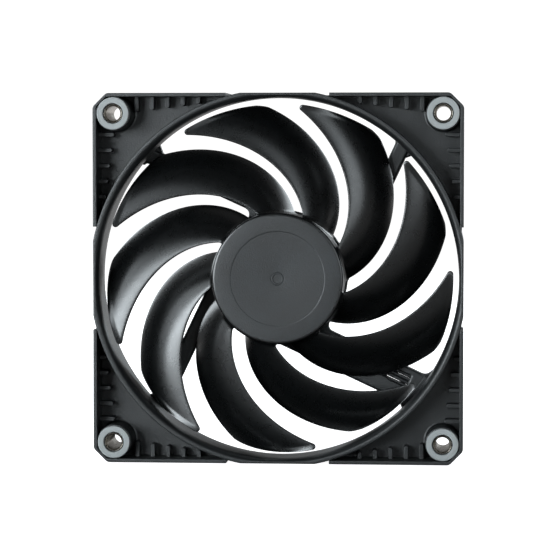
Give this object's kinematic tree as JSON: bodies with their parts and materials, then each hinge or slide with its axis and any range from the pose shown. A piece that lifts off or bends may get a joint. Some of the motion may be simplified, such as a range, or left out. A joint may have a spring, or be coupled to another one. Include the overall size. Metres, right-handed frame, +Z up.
{
  "type": "computer case fan",
  "caption": "Square case fan with a round duct, swept blades round a motor hub, tangential struts, corner pockets with a comb of ribs, and light rubber corner pads.",
  "frame": {"origin": "middle of the fan on its spin axis", "axes": "+Y along the spin axis from the intake side to the exhaust side, +Z up, +X to the right as seen from the intake side"},
  "size_m": [0.14, 0.025, 0.14],
  "materials": {
    "frame_plastic": "matte charcoal, finely textured",
    "impeller_plastic": "satin black",
    "pad_rubber": "matte light grey",
    "sleeve_steel": "satin",
    "lead_sheath": "satin black",
    "label_film": "satin black, blank",
    "brass": "turned",
    "bronze": "sintered, oiled",
    "black_rubber": "matte",
    "white_plastic": "matte",
    "electrical_steel": "laminated",
    "insulator_plastic": "matte cream",
    "copper_wire": "enamelled copper",
    "board": "solder mask over glass fibre",
    "chip": "matte",
    "solder": "bright",
    "capacitor_case": "satin",
    "magnet": "bonded ferrite, matte",
    "yoke_steel": "drawn",
    "shaft_steel": "ground",
    "clip_plastic": "matte white"
  },
  "bodies": {
    "housing": {"frame": "frame_plastic", "mount_sleeve_1": "sleeve_steel", "mount_sleeve_2": "sleeve_steel", "mount_sleeve_3": "sleeve_steel", "mount_sleeve_4": "sleeve_steel", "front_pad_1": "pad_rubber", "front_pad_2": "pad_rubber", "front_pad_3": "pad_rubber", "front_pad_4": "pad_rubber", "rear_pad_1": "pad_rubber", "rear_pad_2": "pad_rubber", "rear_pad_3": "pad_rubber", "rear_pad_4": "pad_rubber", "lead_wire_1": "lead_sheath", "lead_wire_2": "lead_sheath", "lead_wire_3": "lead_sheath", "lead_wire_4": "lead_sheath", "lead_clamp": "black_rubber", "rear_label": "label_film", "bearing_tube": "brass", "sleeve_bearing": "bronze", "oil_seal": "black_rubber", "thrust_pad": "white_plastic", "stator_core": "electrical_steel", "front_insulator": "insulator_plastic", "rear_insulator": "insulator_plastic", "coil_1": "copper_wire", "coil_2": "copper_wire", "coil_3": "copper_wire", "coil_4": "copper_wire", "terminal_pins": "solder", "circuit_board": "board", "driver_chip": "chip", "hall_sensor": "chip", "capacitor_1": "capacitor_case", "capacitor_2": "capacitor_case", "solder_joints": "solder"},
    "rotor": {"impeller": "impeller_plastic", "rotor_yoke": "yoke_steel", "ring_magnet": "magnet", "shaft": "shaft_steel", "shaft_bush": "brass", "shaft_clip": "clip_plastic"}
  },
  "joints": [
    {"name": "impeller_spin", "type": "hinge", "parent": "housing", "child": "rotor", "pos_m": [0, 0, 0], "axis": [0, -1, 0], "continuous": true}
  ]
}
